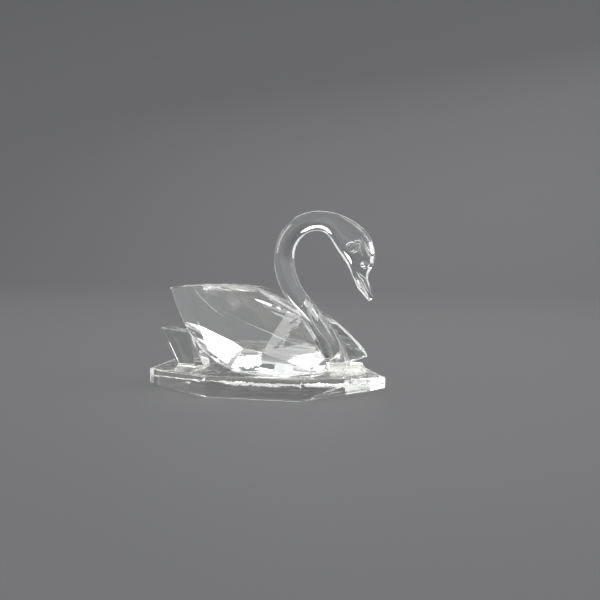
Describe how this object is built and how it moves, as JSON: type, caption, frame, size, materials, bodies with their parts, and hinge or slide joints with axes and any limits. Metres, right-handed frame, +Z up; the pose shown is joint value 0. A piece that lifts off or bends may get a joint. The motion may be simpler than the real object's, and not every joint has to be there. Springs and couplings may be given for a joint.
{
  "type": "swan figurine",
  "caption": "Clear crystal swan figurine: faceted almond wings, hooked neck with head and bill, small tail block, on a cut many-sided base plate",
  "frame": {"origin": "under the middle of the base plate, on the surface that it stands on", "axes": "+X is the way the swan faces, +Y is its left, +Z is up"},
  "size_m": [0.0594, 0.0352, 0.0442],
  "materials": {
    "crystal": "clear lead crystal, polished facets",
    "adhesive": "clear cured adhesive, slightly cloudy"
  },
  "bodies": {
    "root": {"base_plate": "crystal", "wing_right": "crystal", "wing_left": "crystal", "tail": "crystal", "neck_and_head": "crystal", "bond_wing_right": "adhesive", "bond_wing_left": "adhesive", "bond_wings": "adhesive", "bond_tail": "adhesive", "bond_neck": "adhesive"}
  },
  "joints": []
}
